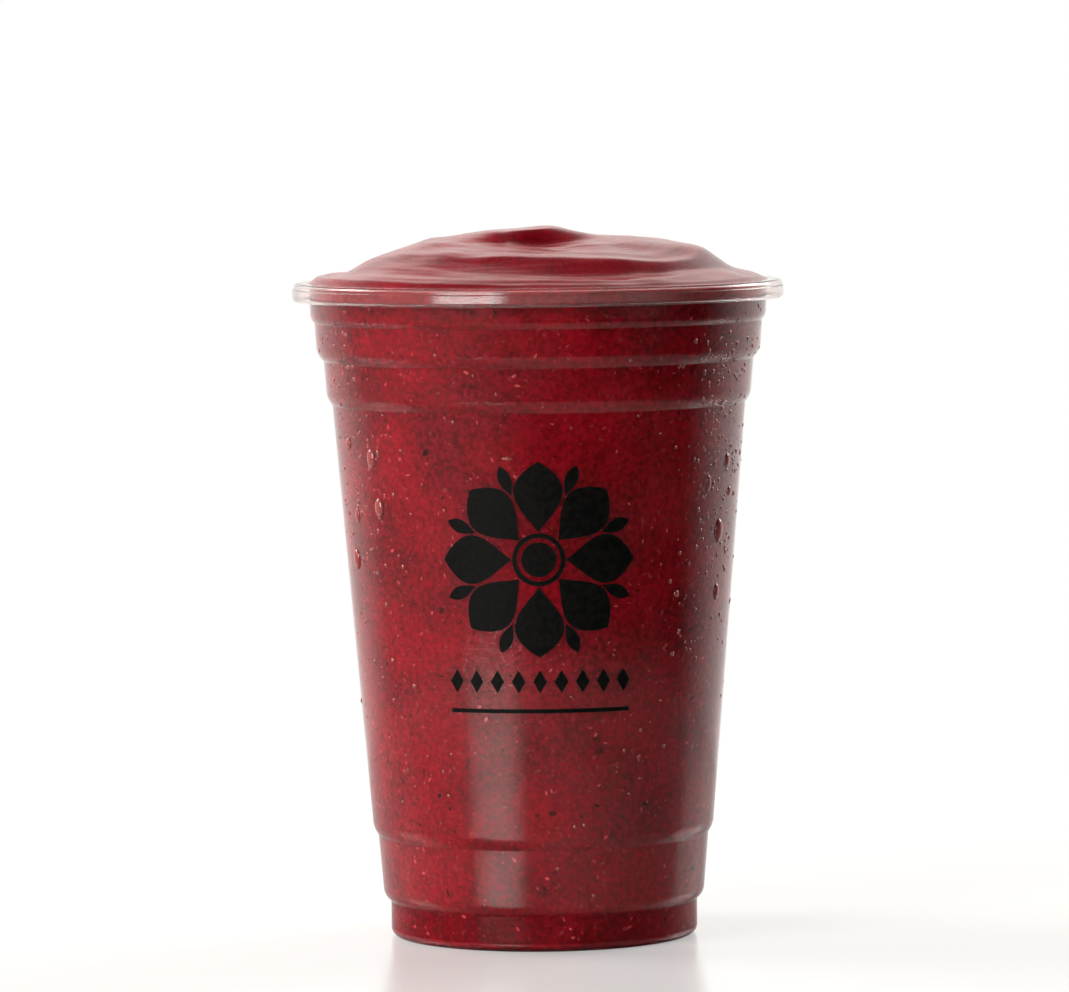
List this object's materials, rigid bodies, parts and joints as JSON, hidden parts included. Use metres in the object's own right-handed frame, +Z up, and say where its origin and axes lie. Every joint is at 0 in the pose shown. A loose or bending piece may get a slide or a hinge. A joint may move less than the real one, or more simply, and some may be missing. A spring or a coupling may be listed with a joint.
{
  "type": "berry smoothie in a clear cup",
  "caption": "Thick berry smoothie heaped in a soft folded swirl above the rolled rim of a clear, tapered plastic cup with stepped rings and a plain foot.",
  "frame": {"origin": "centre of the ring that the foot stands on, at its lowest plane", "axes": "+Z up along the cup's axis to the swirl's peak, -Y towards the front that the picture shows"},
  "size_m": [0.098, 0.098, 0.1418],
  "materials": {
    "clear_plastic": "clear, glossy thermoformed sheet",
    "berry_smoothie": "wet, softly glossy fruit puree with fine pulp"
  },
  "bodies": {
    "root": {"cup": "clear_plastic", "smoothie": "berry_smoothie"}
  },
  "joints": []
}
